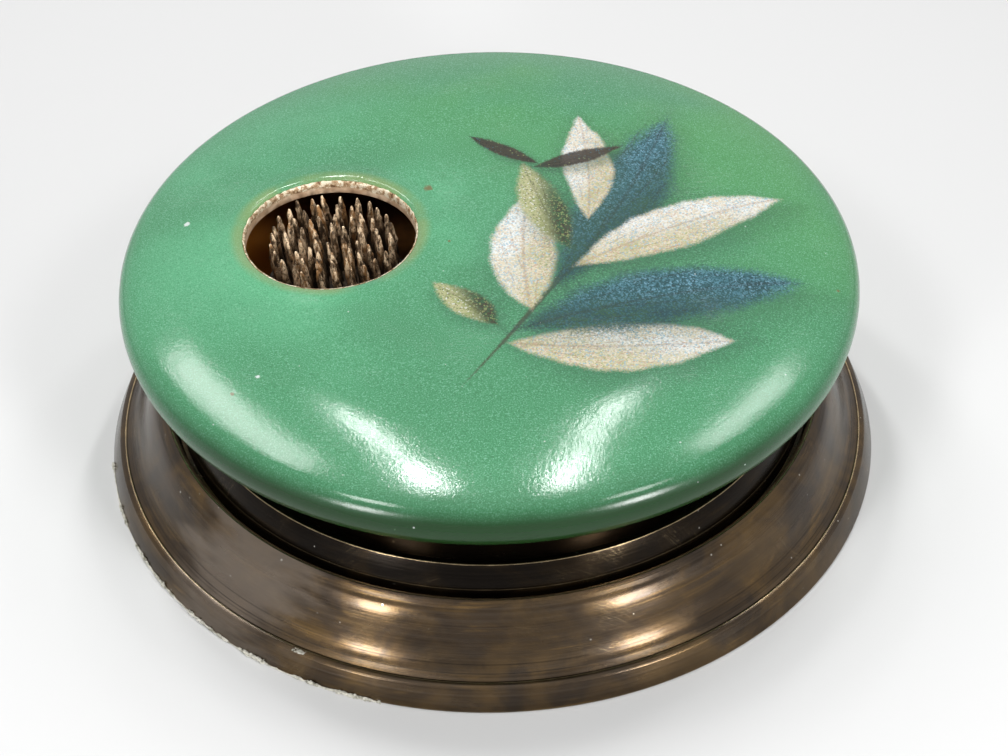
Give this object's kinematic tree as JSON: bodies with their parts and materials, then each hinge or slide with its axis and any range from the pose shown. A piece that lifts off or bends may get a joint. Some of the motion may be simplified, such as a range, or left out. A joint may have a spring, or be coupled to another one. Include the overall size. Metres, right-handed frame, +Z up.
{
  "type": "ikebana vase",
  "caption": "Flat round flower vessel of enamelled copper with an off-centre mouth and a pin holder inside, on a loose seat ring in a turned bronze plinth.",
  "frame": {"origin": "on the table under the centre of the plinth", "axes": "+Z up, -Y towards the viewer of the picture, the mouth towards -X and slightly +Y"},
  "size_m": [0.24, 0.24, 0.0757],
  "materials": {
    "felt": "matt pressed wool, dark green",
    "floor_sheet": "dull brown sheet",
    "plinth_bronze": "dark brown patina, turned, rubbed golden on the edges",
    "seat_bronze": "dark brown patina, turned, bright upper edge",
    "foot_copper": "brown oxidised copper",
    "enamel_lower": "gloss fired enamel, green",
    "enamel_upper": "gloss fired enamel, green with fine grain",
    "collar_edge": "raw tan edge under a thin enamel lip",
    "kenzan_lead": "dull grey casting",
    "needle_brass": "tarnished pins with lime scale at their tips"
  },
  "bodies": {
    "plinth": {"plinth_flange": "plinth_bronze", "plinth_floor": "floor_sheet", "felt_pad": "felt"},
    "seat": {"seat_ring": "seat_bronze"},
    "vessel": {"foot_ring": "foot_copper", "vessel_bottom": "enamel_lower", "vessel_top": "enamel_upper", "mouth_collar": "collar_edge"},
    "kenzan": {"kenzan_base": "kenzan_lead", "kenzan_needles": "needle_brass"}
  },
  "joints": [
    {"name": "seat_ring_turn", "type": "hinge", "parent": "plinth", "child": "seat", "pos_m": [0, 0, 0.0193], "axis": [0, 0, 1], "continuous": true},
    {"name": "vessel_lift", "type": "slide", "parent": "seat", "child": "vessel", "axis": [0, 0, 1], "range_m": [0, 0.05]},
    {"name": "kenzan_lift", "type": "slide", "parent": "vessel", "child": "kenzan", "axis": [0, 0, 1], "range_m": [0, 0.05]}
  ]
}
